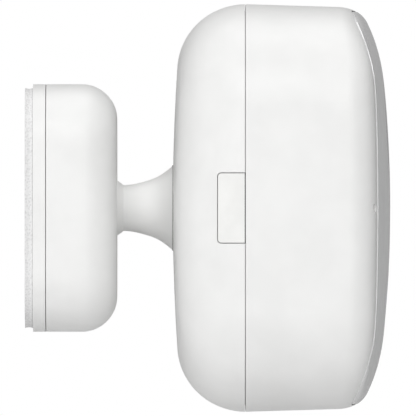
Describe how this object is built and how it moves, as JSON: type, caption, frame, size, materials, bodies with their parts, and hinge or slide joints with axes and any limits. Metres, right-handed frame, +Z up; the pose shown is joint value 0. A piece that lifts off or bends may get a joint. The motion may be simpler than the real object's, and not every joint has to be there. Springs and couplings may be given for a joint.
{
  "type": "video doorbell",
  "caption": "Rounded-square video doorbell head with a bell button and camera window, on a waisted ball-joint neck and a stick-on wall base.",
  "frame": {"origin": "centre of the adhesive pad's back face, on the wall", "axes": "+X out of the wall towards the visitor, +Z up, Y across the width"},
  "size_m": [0.0731, 0.076, 0.0814],
  "materials": {
    "foam_pad": "closed-cell foam adhesive pad, light grey, fine speckle",
    "housing_white": "moulded white PC/ABS, satin fine texture",
    "panel_gloss": "moulded white polycarbonate, semi-gloss",
    "cover_white": "moulded white TPU, matt",
    "window_black": "dark infrared-passing window, polished",
    "lens_glass": "coated optical glass",
    "lens_milky": "milky HDPE motion lens",
    "ring_milky": "milky light guide",
    "lamp_clear": "moulded epoxy lamp",
    "seal_grey": "moulded silicone, light grey",
    "seal_black": "black foam and tape",
    "inner_grey": "moulded acetal, grey",
    "inner_black": "moulded nylon, black",
    "screw_steel": "zinc plated steel",
    "port_steel": "nickel plated steel",
    "contact_brass": "plated brass",
    "spreader_alu": "rolled aluminium",
    "board_green": "fibreglass circuit board, green mask",
    "cell_wrap": "shrink sleeve over a steel can",
    "cone_film": "formed polymer film"
  },
  "bodies": {
    "wall_base": {"adhesive_pad": "foam_pad", "wall_plate": "housing_white", "base_shell": "housing_white", "base_screws": "screw_steel", "socket_ring": "inner_grey", "socket_cup": "inner_grey", "socket_screws": "screw_steel", "friction_spring": "screw_steel"},
    "shoe": {"friction_shoe": "inner_grey"},
    "neck": {"ball_stem": "housing_white", "neck_seal": "seal_grey", "stem_washer": "screw_steel", "stem_bolt": "screw_steel"},
    "head": {"rear_shell": "housing_white", "front_shell": "housing_white", "front_panel": "panel_gloss", "panel_tape": "seal_black", "shell_gasket": "seal_grey", "shell_screws": "screw_steel", "lens_window": "window_black", "motion_lens": "lens_milky", "light_ring": "ring_milky", "port_case": "port_steel", "port_tongue": "inner_black", "port_board": "board_green", "reset_switch": "inner_black", "battery_cell_left": "cell_wrap", "battery_cell_right": "cell_wrap", "battery_tray": "inner_black", "battery_contacts": "contact_brass", "inner_frame": "inner_black", "main_board": "board_green", "board_screws": "screw_steel", "radio_shield": "port_steel", "processor": "inner_black", "heat_spreader": "spreader_alu", "antenna": "board_green", "sensor_board": "board_green", "image_sensor": "inner_black", "lens_holder": "inner_black", "lens_barrel": "inner_black", "rear_lens": "lens_glass", "front_lens": "lens_glass", "infrared_board": "board_green", "infrared_lamps": "lamp_clear", "light_baffle": "seal_black", "front_board": "board_green", "motion_sensor": "port_steel", "button_switch": "inner_black", "ring_lamps": "ring_milky", "speaker_frame": "inner_black", "speaker_cone": "cone_film", "speaker_mesh": "seal_black", "microphone": "port_steel"},
    "cover": {"port_cover": "cover_white"},
    "bell_button": {"button_cap": "panel_gloss", "switch_plunger": "inner_grey"},
    "reset": {"reset_button": "inner_grey"}
  },
  "joints": [
    {"name": "pan", "type": "hinge", "parent": "wall_base", "child": "shoe", "pos_m": [0.0153, 0, 0], "axis": [0, 0, 1], "range_deg": [-17, 17]},
    {"name": "tilt", "type": "hinge", "parent": "shoe", "child": "neck", "pos_m": [0.0153, 0, 0], "axis": [0, 1, 0], "range_deg": [-17, 17]},
    {"name": "roll", "type": "hinge", "parent": "neck", "child": "head", "pos_m": [0.03, 0, 0], "axis": [1, 0, 0], "continuous": true},
    {"name": "bell_press", "type": "slide", "parent": "head", "child": "bell_button", "axis": [-1, 0, 0], "range_m": [0, 0.0006], "stiffness_N_per_m": 2500, "springref_m": -0.0003},
    {"name": "cover_open", "type": "hinge", "parent": "head", "child": "cover", "pos_m": [0.03855, -0.0371, 0], "axis": [0, 0, -1], "range_deg": [0, 95]},
    {"name": "reset_press", "type": "slide", "parent": "head", "child": "reset", "axis": [0, 1, 0], "range_m": [0, 0.0003], "stiffness_N_per_m": 3000, "springref_m": -0.0002}
  ]
}
